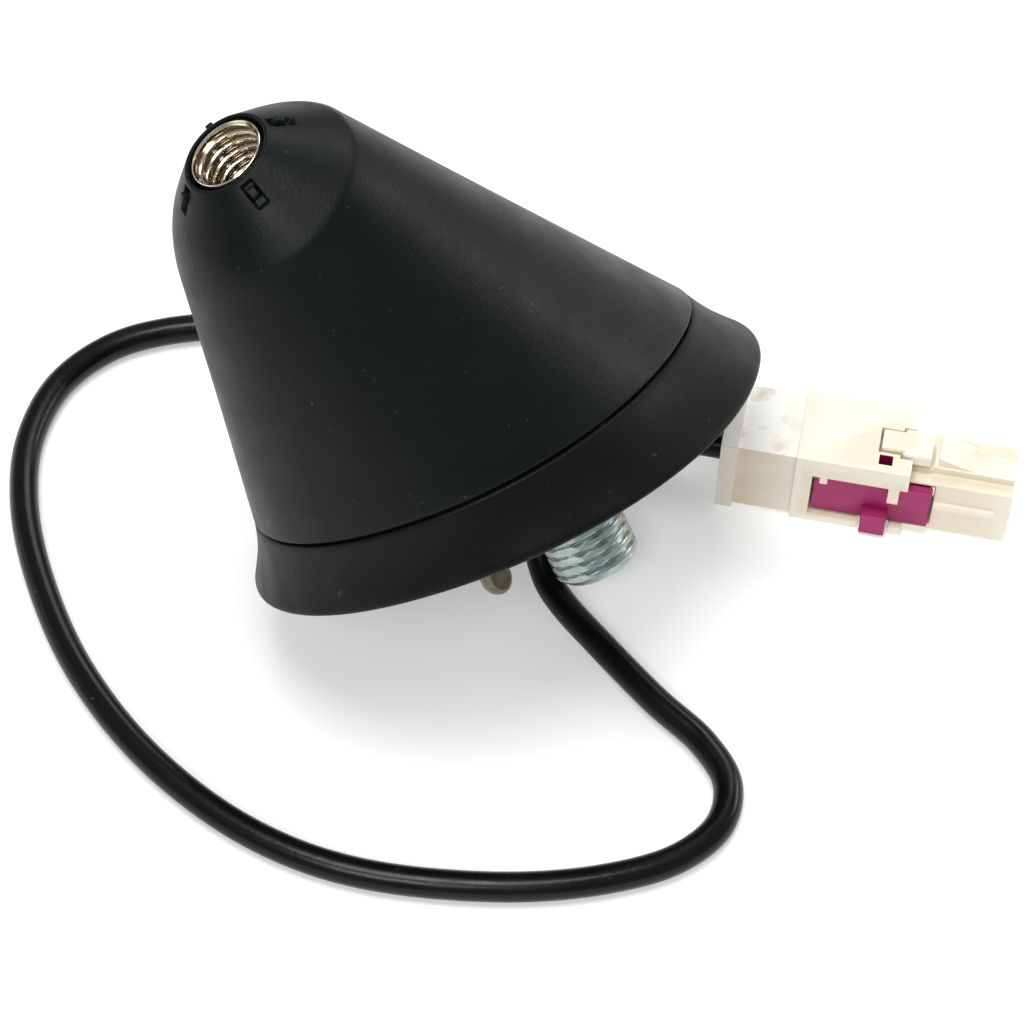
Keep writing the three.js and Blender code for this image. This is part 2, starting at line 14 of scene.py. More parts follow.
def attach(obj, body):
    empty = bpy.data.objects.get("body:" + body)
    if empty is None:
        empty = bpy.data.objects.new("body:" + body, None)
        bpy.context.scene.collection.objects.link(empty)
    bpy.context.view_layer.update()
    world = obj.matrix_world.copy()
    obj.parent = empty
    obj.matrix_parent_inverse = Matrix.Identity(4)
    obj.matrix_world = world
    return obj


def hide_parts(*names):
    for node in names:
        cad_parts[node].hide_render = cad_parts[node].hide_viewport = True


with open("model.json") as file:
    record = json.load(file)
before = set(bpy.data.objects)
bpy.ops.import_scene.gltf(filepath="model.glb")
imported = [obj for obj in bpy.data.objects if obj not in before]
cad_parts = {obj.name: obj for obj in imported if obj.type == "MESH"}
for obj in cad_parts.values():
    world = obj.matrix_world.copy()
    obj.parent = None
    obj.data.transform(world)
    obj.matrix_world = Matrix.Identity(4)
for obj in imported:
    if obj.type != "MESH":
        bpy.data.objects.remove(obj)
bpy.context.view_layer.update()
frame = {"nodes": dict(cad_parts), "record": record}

MM = 0.001
ROOT = "foot"

# ---- Driving dimensions, in millimetres, as the CAD part has them ------------------------------
FOOT_FRONT, FOOT_REAR, FOOT_HALF = 34.5, 31.0, 30.9
PARTING_FRONT, PARTING_REAR, PARTING_HALF = 26.0, 31.2, 26.3
SKIRT_TOP, PARTING_GAP = 8.4, 0.3
SKIRT_WALL, COVER_WALL = 2.8, 2.2
OVAL_POWER = 2.1
MAST_LEAN = math.radians(31)
CREASE_CENTRE = np.array([-24.6, 0.0, 45.8])
CREASE_RADIUS, RIM_RADIUS, CROWN_HEIGHT, CROWN_THICKNESS = 11.2, 4.85, 6.5, 8.8
SOCKET_RADIUS, SOCKET_BORE, SOCKET_DEPTH, SOCKET_LENGTH = 4.05, 3.45, 12.5, 15.5
STUD_PLACE = (7.6, -1.7)
STUD_RADIUS, STUD_LENGTH, STUD_FLAT_ANGLE = 5.15, 18.0, math.radians(168)
STUD_FLANGE_RADIUS, STUD_GROOVE_ROOM = 6.5, 1.5
LEAD_PLACE = (9.58, 4.64)
LEAD_RADIUS = 1.7
PEG_PLACE = (-13.0, 0.9)
PEG_RADIUS, PEG_LENGTH = 1.75, 9.2
PEG_FLAT_REACH, PEG_FLAT_ANGLE, PEG_TIP_LENGTH = 1.2, math.radians(-125), 2.1
PLATE_TOP = 5.6
SOLID_GAP = 0.3

# The visual model's own: the CAD part has plain threads, no lip at the mouth and a flat 0.3 deep.
MOUTH_RADIUS = 4.55
THREAD_PITCH = 1.25
STUD_THREAD_DEPTH, STUD_FLAT_DEPTH = 0.45, 0.26

REST_TILT, REST_TOWARDS, REST_HEADING = (math.radians(a) for a in (40.5, 131.3, 80.6))
FOOT_PLACE = Vector((3.83, -1.87, 21.04)) * MM
FOOT = (Matrix.Translation(FOOT_PLACE) @ Matrix.Rotation(REST_TOWARDS, 4, "Z")
        @ Matrix.Rotation(REST_TILT, 4, "Y") @ Matrix.Rotation(REST_HEADING - REST_TOWARDS, 4, "Z"))
MAST_AXIS = np.array([-math.sin(MAST_LEAN), 0.0, math.cos(MAST_LEAN)])
MAST_FORWARD = np.array([math.cos(MAST_LEAN), 0.0, math.sin(MAST_LEAN)])

LEAD_ROUTE = [
    (1.2, 7.8, 16.7), (2.3, 6.6, 14.8), (4.0, 4.7, 11.8), (5.6, 2.8, 8.8), (6.8, 1.2, 6.2),
    (7.9, -1.0, 3.7), (9.1, -4.1, 2.0), (11.0, -7.4, 1.8), (14.4, -11.9, 1.8), (21.2, -20.3, 1.8),
    (26.5, -26.0, 1.8), (29.0, -31.2, 1.8), (28.0, -36.5, 1.8), (23.5, -40.8, 1.8), (15.7, -43.6, 1.8),
    (3.6, -44.9, 1.8), (-12.8, -43.1, 1.8), (-24.3, -38.2, 1.8), (-35.5, -29.0, 1.8), (-44.2, -17.3, 1.8),
    (-49.7, -5.0, 1.8), (-52.5, 6.2, 1.8), (-52.6, 15.8, 1.8), (-49.7, 24.2, 1.8), (-44.1, 29.9, 1.8),
    (-37.6, 32.6, 1.8), (-26.0, 34.0, 1.8), (-16.0, 34.2, 1.8), (-6.0, 33.0, 1.8), (2.0, 30.4, 1.8),
    (8.0, 27.0, 1.8), (13.0, 22.9, 1.9), (17.5, 19.0, 2.6), (22.0, 16.3, 3.9), (26.5, 14.8, 4.8),
    (31.8, 13.65, 4.9),
]


# ---- Camera ------------------------------------------------------------------------------------
CAMERA_PLACE = Vector((-2.96, -235.53, 329.76)) * MM
CAMERA_VIEW_ANGLE = math.radians(16.868)
CAMERA_RIGHT, CAMERA_BACK = Vector((0.9997, 0.0003, 0.0242)), Vector((-0.0193, -0.5929, 0.8051))


def add_camera():
    data = bpy.data.cameras.new("camera")
    data.sensor_width = 36.0
    data.lens = data.sensor_width / 2 / math.tan(CAMERA_VIEW_ANGLE / 2)
    data.clip_end = 20.0
    camera = bpy.data.objects.new("camera", data)
    right = CAMERA_RIGHT.normalized()
    back = CAMERA_BACK.normalized()
    up = back.cross(right).normalized()
    right = up.cross(back)
    turn = Matrix((right, up, back)).transposed().to_4x4()
    camera.matrix_world = Matrix.Translation(CAMERA_PLACE) @ turn
    bpy.context.scene.collection.objects.link(camera)
    bpy.context.scene.camera = camera


# ---- Materials ---------------------------------------------------------------------------------
PATCH_EDGE = 0.08
UPWARD_FROM, UPWARD_TO = 0.85, 0.97
SPECK_MM, SPECK_FROM, SPECK_TO, SPECK_SHARE = 0.9, 0.74, 0.80, 0.6
GRAIN_HEIGHT_MM = 0.06


def finish(name, color, roughness, metallic=0.0, mottle=0.08, mottle_mm=9.0, grain_mm=0.35,
           grain=0.10, rough_spread=0.08, scuffs=0.0, wear_and_highlight=0.0, wear_and_highlight_color=(0.5, 0.5, 0.5),
           specular=0.5, second=None, second_mm=3.0, second_share=0.5, second_on_top=False,
           pointiness_from=0.53, pointiness_to=0.60, stretch=(1, 1, 1)):
    """A procedural finish: mottled colour, uneven gloss, fine grain in the bump and lighter raised edges.

    second is a colour for irregular patches, which second_on_top keeps to faces that look up.
    wear_and_highlight is how far the raised edges take wear_and_highlight_color, between the pointiness
    pointiness_from and pointiness_to: worn edges on most finishes, a painted highlight on the nickel
    crests.
    """
    material = bpy.data.materials.new(name)
    material.use_nodes = True
    nodes, links = material.node_tree.nodes, material.node_tree.links
    shader = nodes["Principled BSDF"]
    shader.inputs["Metallic"].default_value = metallic
    shader.inputs["Specular IOR Level"].default_value = specular
    coordinates = nodes.new("ShaderNodeTexCoord")
    mapping = nodes.new("ShaderNodeMapping")
    mapping.inputs["Scale"].default_value = stretch
    links.new(coordinates.outputs["Object"], mapping.inputs["Vector"])

    def noise(size_mm, detail=3.0, rough=0.55):
        node = nodes.new("ShaderNodeTexNoise")
        node.inputs["Scale"].default_value = 1.0 / (size_mm * MM)
        node.inputs["Detail"].default_value = detail
        node.inputs["Roughness"].default_value = rough
        links.new(mapping.outputs["Vector"], node.inputs["Vector"])
        return node.outputs["Fac"]

    def remap(value, low, high, to_low, to_high):
        node = nodes.new("ShaderNodeMapRange")
        for socket, number in zip(("From Min", "From Max", "To Min", "To Max"),
                                  (low, high, to_low, to_high)):
            node.inputs[socket].default_value = number
        links.new(value, node.inputs["Value"])
        return node.outputs["Result"]

    def mix(factor, first, other):
        node = nodes.new("ShaderNodeMix")
        node.data_type = "RGBA"
        links.new(factor, node.inputs["Factor"])
        for socket, value in ((node.inputs[6], first), (node.inputs[7], other)):
            if isinstance(value, tuple):
                socket.default_value = (*value, 1.0)
            else:
                links.new(value, socket)
        return node.outputs[2]

    low = tuple(c * (1 - mottle) for c in color)
    high = tuple(min(1.0, c * (1 + mottle)) for c in color)
    shade = mix(remap(noise(mottle_mm), 0.35, 0.65, 0.0, 1.0), low, high)
    if second:
        patch = remap(noise(second_mm, 4.0, 0.6), second_share - PATCH_EDGE, second_share + PATCH_EDGE,
                      0.0, 1.0)
        if second_on_top:
            facing = nodes.new("ShaderNodeNewGeometry")
            parts = nodes.new("ShaderNodeSeparateXYZ")
            links.new(facing.outputs["True Normal"], parts.inputs["Vector"])
            both = nodes.new("ShaderNodeMath")
            both.operation = "MULTIPLY"
            links.new(patch, both.inputs[0])
            links.new(remap(parts.outputs["Z"], UPWARD_FROM, UPWARD_TO, 0.0, 1.0), both.inputs[1])
            patch = both.outputs["Value"]
        shade = mix(patch, shade, second)
    if scuffs:
        speck = remap(noise(SPECK_MM, 2.0, 0.4), SPECK_FROM - 0.03 * scuffs, SPECK_TO, 0.0, SPECK_SHARE)
        shade = mix(speck, shade, wear_and_highlight_color)
    if wear_and_highlight:
        geometry = nodes.new("ShaderNodeNewGeometry")
        edge_share = remap(geometry.outputs["Pointiness"], pointiness_from, pointiness_to, 0.0, wear_and_highlight)
        shade = mix(edge_share, shade, wear_and_highlight_color)
    links.new(shade, shader.inputs["Base Color"])
    gloss = remap(noise(mottle_mm * 0.45, 4.0), 0.3, 0.7,
                  roughness - rough_spread, roughness + rough_spread)
    links.new(gloss, shader.inputs["Roughness"])
    bump = nodes.new("ShaderNodeBump")
    bump.inputs["Strength"].default_value = grain
    bump.inputs["Distance"].default_value = GRAIN_HEIGHT_MM * MM
    links.new(noise(grain_mm, 2.0, 0.6), bump.inputs["Height"])
    links.new(bump.outputs["Normal"], shader.inputs["Normal"])
    return material


MATERIALS = {
    "cover_plastic": finish("cover_plastic", (0.0040, 0.0056, 0.0058), 0.42, specular=0.15,
                            grain=0.55, mottle=0.14, rough_spread=0.05, scuffs=0.35,
                            wear_and_highlight_color=(0.06, 0.066, 0.066)),
    "skirt_rubber": finish("skirt_rubber", (0.0036, 0.0042, 0.0036), 0.46, specular=0.13,
                           grain=0.60, mottle=0.14, rough_spread=0.05, scuffs=0.3,
                           wear_and_highlight_color=(0.05, 0.05, 0.046)),
    "gasket_rubber": finish("gasket_rubber", (0.014, 0.014, 0.014), 0.85, grain=0.5),
    "zinc_plate": finish("zinc_plate", (0.60, 0.65, 0.62), 0.31, 1.0, mottle=0.22, mottle_mm=2.2,
                         grain=0.35, grain_mm=0.2, rough_spread=0.10, second=(0.44, 0.55, 0.53),
                         second_mm=4.0, wear_and_highlight=0.5, wear_and_highlight_color=(0.80, 0.84, 0.83)),
    "cast_metal": finish("cast_metal", (0.50, 0.51, 0.51), 0.55, 1.0, mottle=0.15, grain=0.9, grain_mm=0.5),
    "peg_steel": finish("peg_steel", (0.20, 0.17, 0.125), 0.33, 1.0, mottle=0.25, mottle_mm=1.6,
                        grain=0.3, grain_mm=0.2, wear_and_highlight=0.4, wear_and_highlight_color=(0.75, 0.70, 0.62)),
    # Painted highlight and painted shade on the socket thread: the dark brown base is painted shade for the
    # thread grooves, and the raised crests take a near-white painted highlight from their pointiness.
    "nickel": finish("nickel", (0.20, 0.13, 0.065), 0.17, 1.0, mottle=0.16, mottle_mm=1.8,
                     grain=0.08, grain_mm=0.25, rough_spread=0.04, wear_and_highlight=1.0, pointiness_from=0.49, pointiness_to=0.53,
                     wear_and_highlight_color=(0.96, 0.88, 0.74)),
    "brass": finish("brass", (0.72, 0.52, 0.25), 0.28, 1.0, mottle=0.12, grain=0.2),
    "board_green": finish("board_green", (0.02, 0.10, 0.05), 0.42, mottle=0.2, mottle_mm=2.0, grain=0.2),
    "tin_plate": finish("tin_plate", (0.66, 0.67, 0.68), 0.32, 1.0, mottle=0.12, grain=0.3),
    "chip_black": finish("chip_black", (0.02, 0.02, 0.022), 0.5, grain=0.6, grain_mm=0.15),
    "copper": finish("copper", (0.62, 0.28, 0.14), 0.3, 1.0, mottle=0.2, mottle_mm=0.8, grain=0.8,
                     grain_mm=0.3, stretch=(1, 1, 6)),
    "ceramic": finish("ceramic", (0.42, 0.32, 0.20), 0.6, grain=0.3, grain_mm=0.2),
    "screw_steel": finish("screw_steel", (0.56, 0.57, 0.58), 0.3, 1.0, mottle=0.15, grain=0.3),
    "lead_jacket": finish("lead_jacket", (0.0026, 0.0032, 0.0042), 0.28, specular=0.24, mottle=0.15,
                          mottle_mm=14, grain=0.35, grain_mm=1.1, rough_spread=0.07, scuffs=0.5,
                          wear_and_highlight_color=(0.06, 0.065, 0.07)),
    "plug_ivory": finish("plug_ivory", (0.85, 0.76, 0.60), 0.42, specular=0.35, mottle=0.035,
                         mottle_mm=6, grain=0.22, grain_mm=0.5, wear_and_highlight=0.6, wear_and_highlight_color=(0.93, 0.89, 0.79)),
    "collar_ivory": finish("collar_ivory", (0.76, 0.65, 0.50), 0.42, specular=0.35,
                           second=(0.97, 0.96, 0.92), second_mm=2.6, second_share=0.41,
                           second_on_top=True, mottle=0.05, mottle_mm=4, grain=0.25, grain_mm=0.5,
                           wear_and_highlight=0.6, wear_and_highlight_color=(0.93, 0.90, 0.82)),
    "lock_magenta": finish("lock_magenta", (0.27, 0.006, 0.068), 0.42, specular=0.25, mottle=0.10,
                           mottle_mm=3, grain=0.25, grain_mm=0.4, wear_and_highlight=0.4, wear_and_highlight_color=(0.55, 0.06, 0.24)),
    "insulator_white": finish("insulator_white", (0.84, 0.84, 0.81), 0.45, grain=0.2),
}


# ---- Mesh helpers ------------------------------------------------------------------------------
def make(name, points, faces, slot, place, smooth_angle):
    """A mesh piece from points in millimetres, set at its place and riding on the root body."""
    mesh = bpy.data.meshes.new(name)
    mesh.from_pydata((np.asarray(points, float) * MM).tolist(), [], faces)
    mesh.transform(place)
    mesh.validate()
    piece = bpy.data.objects.new(name, mesh)
    bpy.context.scene.collection.objects.link(piece)
    work = bmesh.new()
    work.from_mesh(mesh)
    bmesh.ops.recalc_face_normals(work, faces=work.faces)
    work.to_mesh(mesh)
    work.free()
    mesh.shade_smooth()
    mesh.set_sharp_from_angle(angle=math.radians(smooth_angle))
    mesh.materials.append(MATERIALS[slot])
    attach(piece, ROOT)
    return piece


def ring_faces(count, steps, closed=False):
    """Quads between neighbouring rings; closed joins the last ring to the first."""
    faces = []
    for r in range(count if closed else count - 1):
        a, b = r * steps, ((r + 1) % count) * steps
        faces += [(a + s, a + (s + 1) % steps, b + (s + 1) % steps, b + s) for s in range(steps)]
    return faces


def spun(name, rings, slot, place, smooth_angle, centre=(0.0, 0.0)):
    """Rings of [z, radius by angle] round a vertical axis, capped at both ends."""
    steps = max(np.size(r) for _, r in rings)
    angles = np.linspace(0, 2 * math.pi, steps, endpoint=False)
    points = []
    for z, radius in rings:
        radius = np.broadcast_to(radius, steps)
        points.append(np.stack([centre[0] + radius * np.cos(angles), centre[1] + radius * np.sin(angles),
                                np.full(steps, float(z))], 1))
    faces = ring_faces(len(rings), steps)
    last = (len(rings) - 1) * steps
    faces += [tuple(range(steps))[::-1], tuple(range(last, last + steps))]
    return make(name, np.concatenate(points), faces, slot, place, smooth_angle)


def oval(front, rear, half, z, angles):
    """A level ring, a little squarer than an ellipse, with its own reach to front, rear and sides."""
    c, s = np.cos(angles), np.sin(angles)
    x = np.sign(c) * np.abs(c) ** (2 / OVAL_POWER)
    y = np.sign(s) * np.abs(s) ** (2 / OVAL_POWER)
    return np.stack([np.where(x > 0, x * front, x * rear), y * half, np.full_like(x, z)], 1)


def mast_ring(along, radius, angles):
    """A ring square to the mast's axis, at a distance along it from the crease."""
    radius = np.broadcast_to(radius, angles.shape)
    centre = CREASE_CENTRE + MAST_AXIS * along
    return (centre + np.outer(radius * np.cos(angles), MAST_FORWARD)
            + np.outer(radius * np.sin(angles), (0, 1, 0)))


def rounded(before, corner, after, cut, steps):
    """Rings that turn a corner: each point's own distance cut is taken off both sides of it."""
    cut = np.broadcast_to(cut, len(corner))[:, None]
    to_before, to_after = before - corner, after - corner
    to_before /= np.linalg.norm(to_before, axis=1)[:, None]
    to_after /= np.linalg.norm(to_after, axis=1)[:, None]
    a, b = corner + to_before * cut, corner + to_after * cut
    return [a * (1 - t) ** 2 + corner * 2 * t * (1 - t) + b * t ** 2 for t in np.linspace(0, 1, steps)]


def between(first, last, steps):
    """Rings evenly spaced between two others."""
    return [first * (1 - t) + last * t for t in np.linspace(0, 1, steps + 2)[1:-1]]


def smoothstep(value):
    """0 to 1 with a soft start and end."""
    value = np.clip(value, 0, 1)
    return value * value * (3 - 2 * value)


def thread(z, angles, root, crest, root_share, flank_share):
    """Radius of a thread at a height: root_share of half a turn is root, flank_share is its flank."""
    away = np.abs(2 * ((z / THREAD_PITCH - angles / (2 * math.pi)) % 1.0) - 1)
    return root + (crest - root) * smoothstep((away - root_share) / flank_share)


# ---- Foot --------------------------------------------------------------------------------------
MARK_ANGLES = [math.radians(28 + 90 * k) for k in range(4)]
POCKET_HALF, POCKET_FROM, POCKET_TO, POCKET_DEPTH = 0.80, 5.15, 7.35, 0.50
TAB_HALF, TAB_FROM, TAB_TO, TAB_HEIGHT = 0.50, 5.6, 6.6, 0.95


def crown_marks(angles, radii):
    """Four raised tabs in narrow pockets near the rim: how far each point moves out."""
    lift = np.zeros(len(radii))
    for mark in MARK_ANGLES:
        side = np.abs((angles - mark + math.pi) % (2 * math.pi) - math.pi) * radii
        pocket = (smoothstep((POCKET_HALF - side) / 0.28) * smoothstep((radii - POCKET_FROM) / 0.2)
                  * smoothstep((POCKET_TO - radii) / 0.30))
        tab = (smoothstep((TAB_HALF - side) / 0.14) * smoothstep((radii - TAB_FROM) / 0.15)
               * smoothstep((TAB_TO - radii) / 0.2))
        lift += -POCKET_DEPTH * pocket + TAB_HEIGHT * tab
    return lift


def build_cover():
    steps = 720
    angles = np.linspace(0, 2 * math.pi, steps, endpoint=False)
    bottom_z = SKIRT_TOP + PARTING_GAP
    lip = oval(PARTING_FRONT, PARTING_REAR, PARTING_HALF, bottom_z, angles)
    lip_inner = oval(PARTING_FRONT - COVER_WALL, PARTING_REAR - COVER_WALL,
                     PARTING_HALF - COVER_WALL, bottom_z, angles)
    crease = mast_ring(0, CREASE_RADIUS, angles)
    rim = mast_ring(CROWN_HEIGHT, RIM_RADIUS, angles)
    mouth = mast_ring(CROWN_HEIGHT, MOUTH_RADIUS, angles)
    throat = mast_ring(CROWN_HEIGHT - 1.6, SOCKET_RADIUS + 0.42, angles)
    bore_end = mast_ring(CROWN_HEIGHT - CROWN_THICKNESS, SOCKET_RADIUS + 0.3, angles)
    inner_top = mast_ring(CROWN_HEIGHT - CROWN_THICKNESS, CREASE_RADIUS - COVER_WALL + 0.5, angles)
    # The crease is crisp at crisp_side and fades out opposite it.
    crisp_side, crisp_cut, added_cut = math.radians(250), 0.5, 3.8
    crease_cut = crisp_cut + added_cut * smoothstep(0.5 - 0.75 * np.cos(angles - crisp_side))
    rings = []
    lip_cut, rim_cut = 0.45, 0.14
    rings += rounded(lip_inner, lip, crease, lip_cut, 6)
    rings += between(rings[-1], rounded(lip, crease, rim, crease_cut, 2)[0], 40)
    rings += rounded(lip, crease, rim, crease_cut, 12)
    rings += between(rings[-1], rounded(crease, rim, mouth, rim_cut, 2)[0], 78)
    rings += rounded(crease, rim, mouth, rim_cut, 4)
    rings += rounded(rim, mouth, throat, rim_cut, 4)
    rings += [throat, bore_end, inner_top]
    rings += between(inner_top, lip_inner, 6)
    rings += [lip_inner]
    plain_points = np.concatenate(rings)
    rel = plain_points - CREASE_CENTRE
    along = rel @ MAST_AXIS
    across = np.stack([rel @ MAST_FORWARD, rel[:, 1]], 1)
    radii = np.linalg.norm(across, axis=1)
    turn = np.arctan2(across[:, 1], across[:, 0])
    on_crown = (along > 0.5) & (radii > 4.95)
    lift = np.where(on_crown, crown_marks(turn, radii), 0.0)
    slope = math.atan2(CREASE_RADIUS - RIM_RADIUS, CROWN_HEIGHT)
    outward = (np.outer(np.cos(turn), MAST_FORWARD) + np.outer(np.sin(turn), (0, 1, 0)))
    normal = outward * math.cos(slope) + MAST_AXIS * math.sin(slope)
    points = plain_points + normal * lift[:, None]
    piece = make("cover_moulding", points, ring_faces(len(rings), steps, closed=True), "cover_plastic",
                 place=FOOT, smooth_angle=55)
    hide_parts("cover_shell")


def build_skirt():
    steps = 360
    angles = np.linspace(0, 2 * math.pi, steps, endpoint=False)

    def top(inset, rise=0.0):
        return oval(PARTING_FRONT - inset, PARTING_REAR - inset, PARTING_HALF - inset, SKIRT_TOP + rise,
                    angles)

    sole_inner = oval(FOOT_FRONT - SKIRT_WALL - 0.4, FOOT_REAR - SKIRT_WALL, FOOT_HALF - SKIRT_WALL - 0.3,
                      0, angles)
    hollow_top = oval(PARTING_FRONT - SKIRT_WALL + 1.2, PARTING_REAR - SKIRT_WALL,
                      PARTING_HALF - SKIRT_WALL + 0.8, PLATE_TOP + SOLID_GAP, angles)
    mouth_inset = 4
    ledge = oval(PARTING_FRONT - mouth_inset, PARTING_REAR - mouth_inset, PARTING_HALF - mouth_inset,
                 PLATE_TOP + SOLID_GAP, angles)
    mouth = top(mouth_inset)
    corner, shoulder = oval(FOOT_FRONT, FOOT_REAR, FOOT_HALF, 0, angles), top(0.0)
    sole_cut, shoulder_cut, wall_hollow = 0.9, 0.35, 0.35
    rings = rounded(sole_inner, corner, shoulder, sole_cut, 8)
    wall = between(rings[-1], rounded(corner, shoulder, mouth, shoulder_cut, 2)[0], 14)
    outward = np.stack([np.cos(angles), np.sin(angles), np.zeros(steps)], 1)
    for k, part in enumerate(np.linspace(0, 1, len(wall) + 2)[1:-1]):
        wall[k] = wall[k] - outward * (wall_hollow * math.sin(math.pi * part))
    rings += wall
    rings += rounded(corner, shoulder, mouth, shoulder_cut, 5)
    # A low lip stands inside the cover, so that no light comes through the parting line.
    lip_outer, lip_inner, lip_rise = COVER_WALL + 0.3, COVER_WALL + 1.2, 1.1
    step_inset, step_rise = 0.8, 0.25
    rings += [top(step_inset), top(step_inset, step_rise), top(lip_outer, step_rise)]
    rings += [top(lip_outer, lip_rise), top(lip_inner, lip_rise), top(lip_inner, 0.05)]
    rings += [mouth, ledge, hollow_top, sole_inner]
    piece = make("skirt_moulding", np.concatenate(rings), ring_faces(len(rings), steps, closed=True),
                 "skirt_rubber", place=FOOT, smooth_angle=45)
    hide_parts("skirt")


NO_LIMIT = 99.0


def flat_limits(angles, flat_angle, reach):
    """How far a round piece reaches at each angle, inside a flat cut on one side of it."""
    toward = np.cos(angles - flat_angle)
    return np.where(toward > 0.2, reach / np.maximum(toward, 0.2), NO_LIMIT)


def radius_limits(angles):
    """How far the stud reaches at each angle, inside its groove for the lead."""
    cx, cy = LEAD_PLACE[0] - STUD_PLACE[0], LEAD_PLACE[1] - STUD_PLACE[1]
    groove = LEAD_RADIUS + STUD_GROOVE_ROOM
    along = cx * np.cos(angles) + cy * np.sin(angles)
    inside = along ** 2 - (cx * cx + cy * cy) + groove ** 2
    return np.where((inside > 0) & (along > 0), along - np.sqrt(np.maximum(inside, 0)), NO_LIMIT)


def build_stud():
    steps = 256
    angles = np.linspace(0, 2 * math.pi, steps, endpoint=False)
    crest, root = STUD_RADIUS, STUD_RADIUS - STUD_THREAD_DEPTH
    flat = flat_limits(angles, STUD_FLAT_ANGLE, STUD_RADIUS - STUD_FLAT_DEPTH)
    groove = radius_limits(angles)
    rings = []
    for z in np.arange(-STUD_LENGTH, 2.2, THREAD_PITCH / 12):
        radius = thread(z, angles, root, crest, root_share=0.06, flank_share=0.40)
        ramp = STUD_RADIUS - 1.0 + (z + STUD_LENGTH)
        radius = np.minimum(np.minimum(radius, ramp), np.minimum(flat, groove))
        rings.append((z, radius))
    plain = np.minimum(np.full(steps, STUD_RADIUS), groove)
    flange = np.minimum(np.full(steps, STUD_FLANGE_RADIUS), groove)
    flange_bottom = PLATE_TOP + SOLID_GAP
    rings += [(2.4, plain), (flange_bottom, plain), (PLATE_TOP + 0.31, flange), (PLATE_TOP + 1.9, flange)]
    piece = spun("stud_thread", rings, "zinc_plate", place=FOOT, centre=STUD_PLACE, smooth_angle=50)
    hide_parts("threaded_stud")


def build_peg():
    steps = 96
    angles = np.linspace(0, 2 * math.pi, steps, endpoint=False)
    flat = flat_limits(angles, PEG_FLAT_ANGLE, PEG_FLAT_REACH)
    rings = []
    for t in np.linspace(0.02, 1, 16):
        z = -PEG_LENGTH + PEG_TIP_LENGTH * (1 - math.cos(t * math.pi / 2))
        rings.append((z, np.minimum(PEG_RADIUS * math.sin(t * math.pi / 2), flat)))
    for z in (-5.5, -4.0, -2.0, -0.2):
        rings.append((z, np.minimum(np.full(steps, PEG_RADIUS), flat)))
    rings += [(0.1, PEG_RADIUS), (PLATE_TOP + SOLID_GAP, PEG_RADIUS), (PLATE_TOP + 0.31, PEG_RADIUS + 1),
              (PLATE_TOP + 1.3, PEG_RADIUS + 1)]
    piece = spun("peg_turned", rings, "peg_steel", place=FOOT, centre=PEG_PLACE, smooth_angle=35)
    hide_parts("locating_peg")


def build_socket():
    steps = 192
    groove_radius, crest_radius, strap_radius = 3.86, SOCKET_BORE - 0.15, 6.2
    angles = np.linspace(0, 2 * math.pi, steps, endpoint=False)
    rings = [(-SOCKET_DEPTH, 0.02), (-SOCKET_DEPTH, 3.2)]
    for z in np.arange(-SOCKET_DEPTH + 0.1, -0.05, THREAD_PITCH / 12):
        radius = thread(z, angles, groove_radius, crest_radius, root_share=0.12, flank_share=0.72)
        rings.append((z, np.maximum(radius, SOCKET_RADIUS - 0.20 + (z + 0.10) * 0.7)))
    rings += [(0.0, SOCKET_RADIUS - 0.14), (0.0, SOCKET_RADIUS - 0.08), (-0.08, SOCKET_RADIUS)]
    rings += [(-CROWN_THICKNESS - SOLID_GAP, SOCKET_RADIUS), (-CROWN_THICKNESS - 0.31, strap_radius),
              (-CROWN_THICKNESS - 2.4, strap_radius), (-CROWN_THICKNESS - 2.41, SOCKET_RADIUS),
              (-SOCKET_LENGTH, SOCKET_RADIUS), (-SOCKET_LENGTH, 0.02)]
    lean = Matrix.Rotation(-MAST_LEAN, 4, "Y")
    top = Vector((CREASE_CENTRE + MAST_AXIS * CROWN_HEIGHT) * MM)
    piece = spun("socket_thread", rings, "nickel", place=FOOT @ Matrix.Translation(top) @ lean,
                 smooth_angle=50)
    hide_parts("mast_socket")


# ---- Lead --------------------------------------------------------------------------------------
def centripetal(route, per_span=12):
    """Points along a centripetal Catmull-Rom curve through the route."""
    p = np.array(route, float)
    p = np.vstack([2 * p[0] - p[1], p, 2 * p[-1] - p[-2]])
    points = []
    for i in range(1, len(p) - 2):
        x0, x1, x2, x3 = p[i - 1:i + 3]
        d0, d1, d2 = (np.linalg.norm(b - a) ** 0.5 for a, b in ((x0, x1), (x1, x2), (x2, x3)))
        t1 = ((x1 - x0) / d0 - (x2 - x0) / (d0 + d1) + (x2 - x1) / d1) * d1
        t2 = ((x2 - x1) / d1 - (x3 - x1) / (d1 + d2) + (x3 - x2) / d2) * d1
        for t in np.linspace(0, 1, per_span, endpoint=False):
            points.append((2 * t ** 3 - 3 * t ** 2 + 1) * x1 + (t ** 3 - 2 * t ** 2 + t) * t1
                          + (3 * t ** 2 - 2 * t ** 3) * x2 + (t ** 3 - t ** 2) * t2)
    return np.array(points + [p[-2]])


def build_lead():
    line = centripetal(LEAD_ROUTE) * MM
    data = bpy.data.curves.new("lead_jacket", "CURVE")
    data.dimensions = "3D"
    data.bevel_depth = LEAD_RADIUS * MM
    data.bevel_resolution = 7
    data.use_fill_caps = True
    spline = data.splines.new("POLY")
    spline.points.add(len(line) - 1)
    spline.points.foreach_set("co", np.hstack([line, np.ones((len(line), 1))]).ravel())
    spline.use_smooth = True
    lead = bpy.data.objects.new("lead_jacket", data)
    bpy.context.scene.collection.objects.link(lead)
    data.materials.append(MATERIALS["lead_jacket"])
    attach(lead, ROOT)
    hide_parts("coax_lead")
    return lead, float(np.linalg.norm(np.diff(line, axis=0), axis=1).sum())


